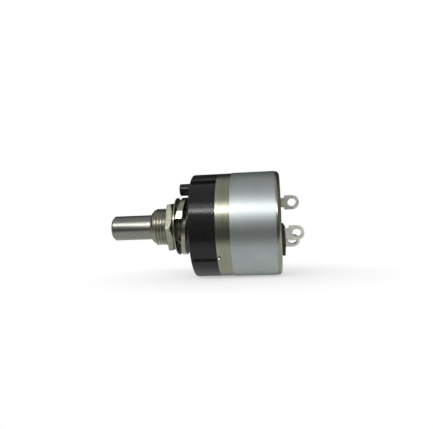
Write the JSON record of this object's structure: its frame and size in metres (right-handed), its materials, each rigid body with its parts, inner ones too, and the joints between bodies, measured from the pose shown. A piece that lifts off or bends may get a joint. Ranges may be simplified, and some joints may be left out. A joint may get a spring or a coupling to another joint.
{
  "type": "rotary potentiometer",
  "caption": "Panel-mount rotary potentiometer with a round shaft, threaded bushing, nut and washers, a black housing with locating peg, a plated can and solder lugs.",
  "frame": {"origin": "on the shaft's axis, in the plane of the boss face that meets the panel", "axes": "-X along the shaft towards its free end, +X to the solder lugs, +Z towards the locating peg"},
  "size_m": [0.0463, 0.0248, 0.0248],
  "materials": {
    "front_housing": "satin black moulding",
    "threaded_bushing": "nickel plated",
    "hex_nut": "nickel plated",
    "flat_washer": "nickel plated",
    "lock_washer": "plated spring steel",
    "rear_can": "nickel plated, drawn",
    "label_wrap": "bare metallised film",
    "terminal_plate": "satin black moulding",
    "wiper_lug": "tin plated",
    "end_lug_a": "tin plated",
    "end_lug_b": "tin plated",
    "element_card": "laminated insulating strip",
    "element_winding": "bright resistance wire",
    "end_tap_a": "bare",
    "end_tap_b": "bare",
    "collector_spring": "bare bronze strip",
    "collector_contact": "bare contact alloy",
    "shaft": "turned, nickel plated",
    "rotor_hub": "brown moulding",
    "wiper_spring": "bare bronze strip",
    "wiper_contact": "bare contact alloy",
    "slip_ring": "polished",
    "thrust_washer": "bare",
    "retaining_clip": "oiled spring steel"
  },
  "bodies": {
    "base": {"front_housing": "front_housing", "threaded_bushing": "threaded_bushing", "hex_nut": "hex_nut", "flat_washer": "flat_washer", "lock_washer": "lock_washer", "rear_can": "rear_can", "label_wrap": "label_wrap", "terminal_plate": "terminal_plate", "wiper_lug": "wiper_lug", "end_lug_a": "end_lug_a", "end_lug_b": "end_lug_b", "element_card": "element_card", "element_winding": "element_winding", "end_tap_a": "end_tap_a", "end_tap_b": "end_tap_b", "collector_spring": "collector_spring", "collector_contact": "collector_contact"},
    "rotor": {"shaft": "shaft", "rotor_hub": "rotor_hub", "wiper_spring": "wiper_spring", "wiper_contact": "wiper_contact", "slip_ring": "slip_ring", "thrust_washer": "thrust_washer", "retaining_clip": "retaining_clip"}
  },
  "joints": [
    {"name": "shaft_turn", "type": "hinge", "parent": "base", "child": "rotor", "pos_m": [0, 0, 0], "axis": [1, 0, 0], "range_deg": [-150, 150]}
  ]
}
